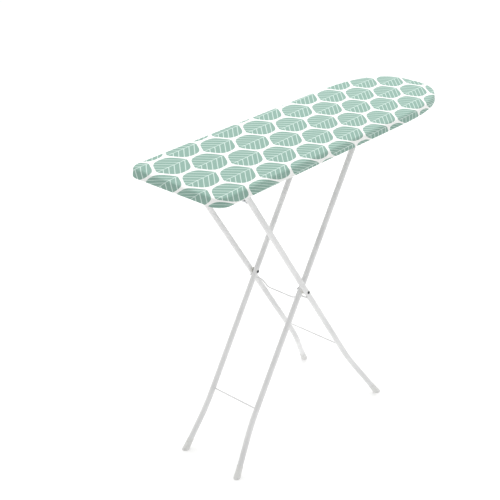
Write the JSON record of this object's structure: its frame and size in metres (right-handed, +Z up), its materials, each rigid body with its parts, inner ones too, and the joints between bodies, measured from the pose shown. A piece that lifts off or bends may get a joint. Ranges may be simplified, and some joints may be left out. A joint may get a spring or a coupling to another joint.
{
  "type": "ironing board",
  "caption": "Free-standing folding ironing board with a padded cover, a pointed nose, crossed tubular legs that slide along a rail, and a sprung release lever.",
  "frame": {"origin": "on the floor, under the middle of the board", "axes": "+X towards the pointed nose, +Y across the board to the lever side, +Z up"},
  "size_m": [1.022, 0.316, 0.901],
  "materials": {
    "cover": "printed cotton, mint leaf print on white",
    "pad": "needled felt",
    "panel": "perforated steel, powder coated",
    "enamel": "white powder coat, semi-gloss",
    "zinc": "bright zinc plate",
    "dark_steel": "dark rivet steel",
    "foot": "moulded soft plastic",
    "nylon": "moulded nylon"
  },
  "bodies": {
    "board": {"cover": "cover", "pad": "pad", "top_panel": "panel", "rim_channel": "enamel", "cross_rib_1": "enamel", "cross_rib_2": "enamel", "cross_rib_3": "enamel", "cross_rib_4": "enamel", "cross_rib_5": "enamel", "hinge_bracket_left": "zinc", "hinge_rivet_left_1": "zinc", "hinge_rivet_left_2": "zinc", "hinge_bracket_right": "zinc", "hinge_rivet_right_1": "zinc", "hinge_rivet_right_2": "zinc", "height_rail": "enamel", "rail_hanger_1": "zinc", "hanger_rivet_1_left": "zinc", "hanger_rivet_1_right": "zinc", "rail_hanger_2": "zinc", "hanger_rivet_2_left": "zinc", "hanger_rivet_2_right": "zinc", "rail_hanger_3": "zinc", "hanger_rivet_3_left": "zinc", "hanger_rivet_3_right": "zinc", "lever_bracket": "zinc", "lever_pin": "zinc", "lever_spring": "zinc"},
    "outer_legs": {"outer_leg_left": "enamel", "outer_foot_left": "foot", "pivot_rivet_left": "dark_steel", "outer_leg_right": "enamel", "outer_foot_right": "foot", "pivot_rivet_right": "dark_steel", "outer_crossbar": "zinc", "outer_brace_wire": "enamel", "spreader_wire": "enamel"},
    "inner_legs": {"inner_leg_left": "enamel", "inner_foot_left": "foot", "bar_bush_left": "nylon", "pivot_washer_left": "nylon", "inner_leg_right": "enamel", "inner_foot_right": "foot", "bar_bush_right": "nylon", "pivot_washer_right": "nylon", "inner_crossbar": "zinc", "inner_brace_wire": "enamel"},
    "lever": {"release_lever": "enamel", "lever_grip": "nylon"}
  },
  "joints": [
    {"name": "leg_fold", "type": "hinge", "parent": "board", "child": "outer_legs", "pos_m": [-0.34431, 0, 0.822], "axis": [0, -1, 0], "range_deg": [0, 52.9]},
    {"name": "scissor_pivot", "type": "hinge", "parent": "outer_legs", "child": "inner_legs", "pos_m": [-0.116, 0, 0.4714], "axis": [0, -1, 0], "range_deg": [-107.4, 0]},
    {"name": "release_lever_turn", "type": "hinge", "parent": "board", "child": "lever", "pos_m": [0.10677, -0.02, 0.848], "axis": [1, 0, 0], "range_deg": [0, 8], "stiffness_Nm_per_rad": 1.2, "springref_deg": -14.32}
  ],
  "couplings": [
    {"joint": "scissor_pivot", "follows": "leg_fold", "ratio": -2.0285}
  ]
}
